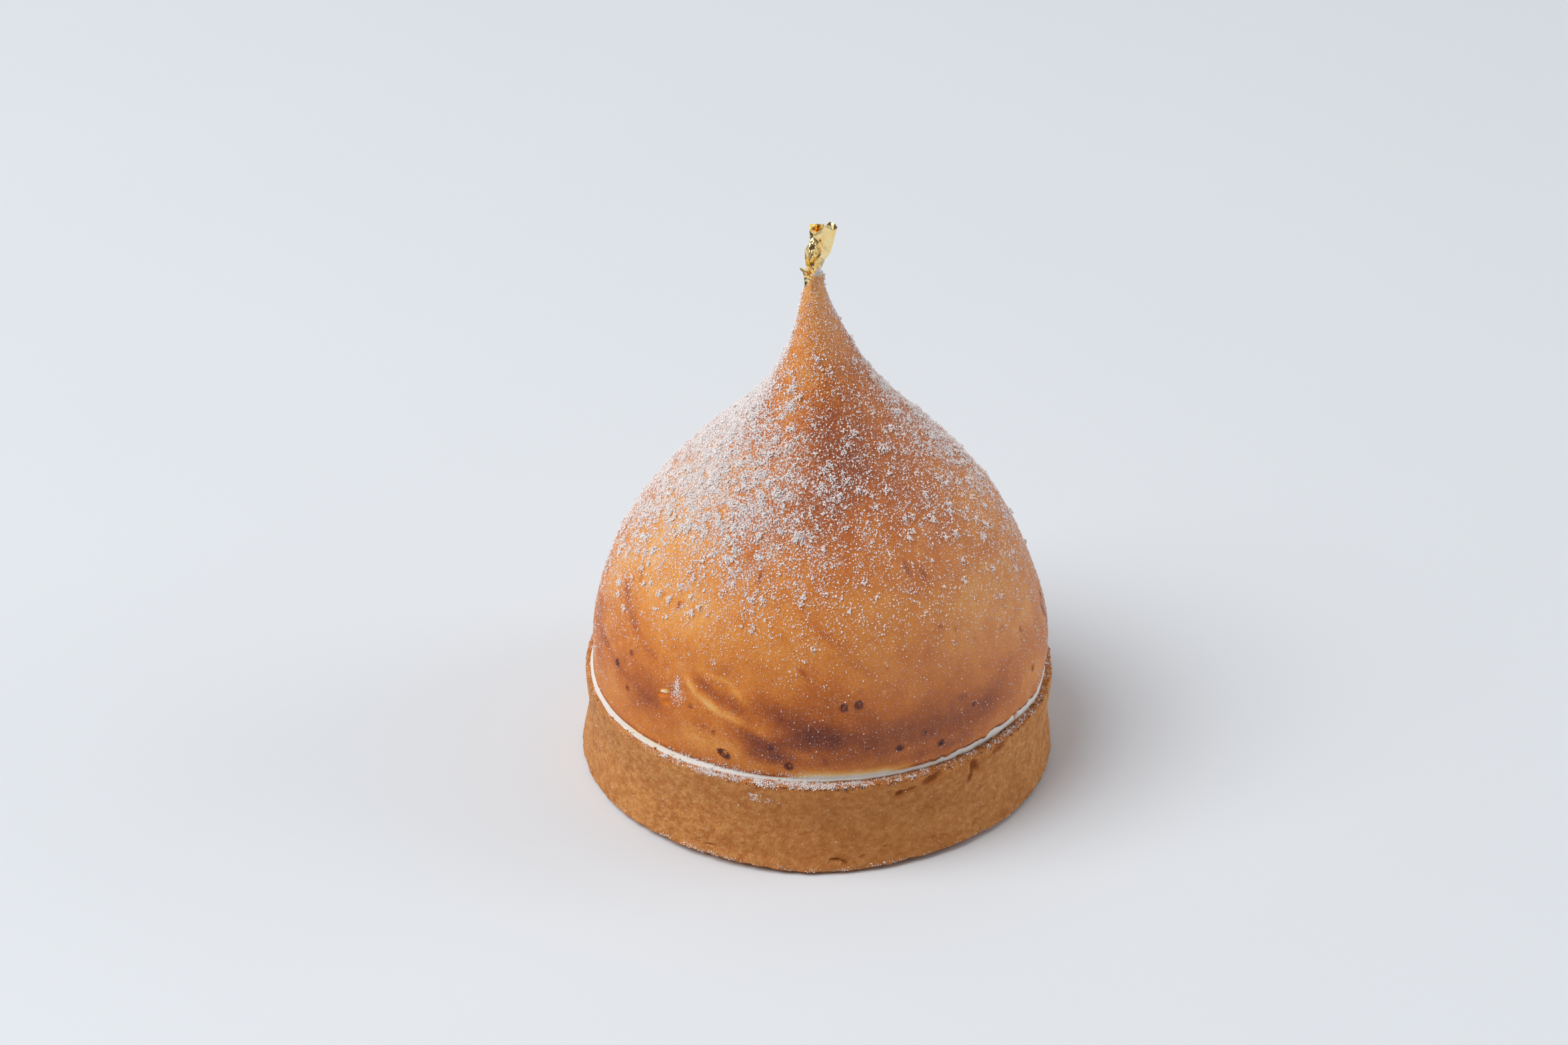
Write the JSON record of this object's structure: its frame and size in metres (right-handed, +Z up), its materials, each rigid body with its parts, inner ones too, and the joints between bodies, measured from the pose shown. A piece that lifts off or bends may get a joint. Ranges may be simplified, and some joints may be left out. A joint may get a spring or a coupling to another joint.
{
  "type": "lemon meringue tartlet",
  "caption": "Round shortcrust tartlet topped with a tall onion-shaped dome of torched meringue dusted with icing sugar, with gold leaf on its tip.",
  "frame": {"origin": "centre of the tartlet's foot, on the surface it stands on", "axes": "+Z up through the dome, -Y towards the side that the picture shows, +X to its right"},
  "size_m": [0.081, 0.0814, 0.0996],
  "materials": {
    "crust": "baked shortcrust pastry, golden brown, dry and slightly rough",
    "meringue": "torched meringue skin, amber to brown, white foam at its lower edge and tip, dusted with icing sugar",
    "gold_leaf": "crumpled gold leaf, mirror-bright"
  },
  "bodies": {
    "root": {"crust": "crust", "meringue": "meringue", "gold_leaf": "gold_leaf"}
  },
  "joints": []
}
